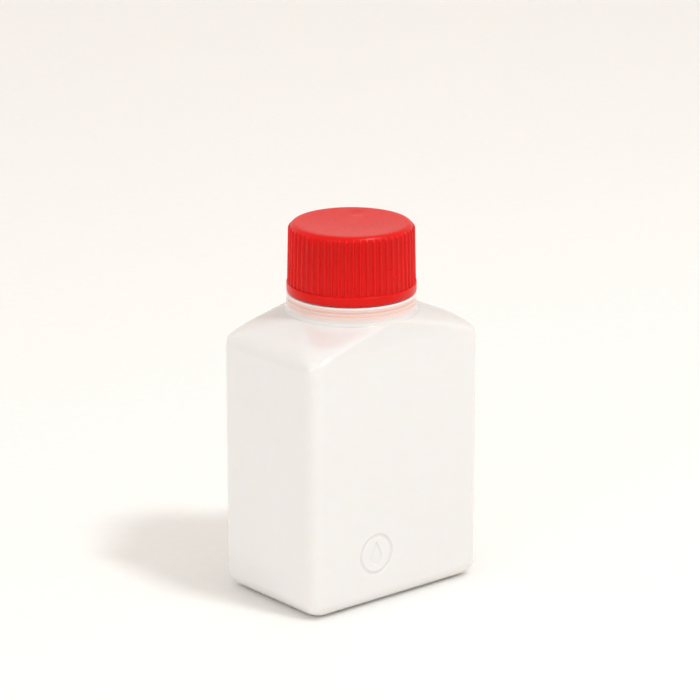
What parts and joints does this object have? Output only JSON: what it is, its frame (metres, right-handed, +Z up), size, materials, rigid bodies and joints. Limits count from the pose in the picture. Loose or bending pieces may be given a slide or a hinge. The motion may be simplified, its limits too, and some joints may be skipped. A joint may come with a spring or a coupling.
{
  "type": "rectangular plastic reagent bottle with screw cap",
  "caption": "Small rectangular translucent plastic bottle with a sloped shoulder, a short round collar and a ribbed screw cap on a threaded neck.",
  "frame": {"origin": "centre of the standing face, on the neck axis", "axes": "+Z up along the neck axis, +X along the wide faces, -Y out of the front wide face, which carries the emblem"},
  "size_m": [0.0514, 0.0338, 0.0886],
  "materials": {
    "natural_polyethylene": "natural uncoloured polyethylene, milky and translucent, satin, with a faint moulded grain",
    "red_polypropylene": "saturated red moulded polypropylene, satin on the crown and glossier on the ribs",
    "liner_foam": "white polyethylene foam, matte, fine cells"
  },
  "bodies": {
    "bottle": {"bottle": "natural_polyethylene"},
    "liner": {"cap_liner": "liner_foam"},
    "cap": {"screw_cap": "red_polypropylene"}
  },
  "joints": [
    {"name": "cap_lift", "type": "slide", "parent": "bottle", "child": "liner", "axis": [0, 0, 1], "range_m": [0, 0.0254]},
    {"name": "cap_turn", "type": "hinge", "parent": "liner", "child": "cap", "pos_m": [0, 0, 0.0723], "axis": [0, 0, 1], "range_deg": [0, 2160]}
  ],
  "couplings": [
    {"joint": "cap_lift", "follows": "cap_turn", "m_per_rad": 0.0006737}
  ]
}
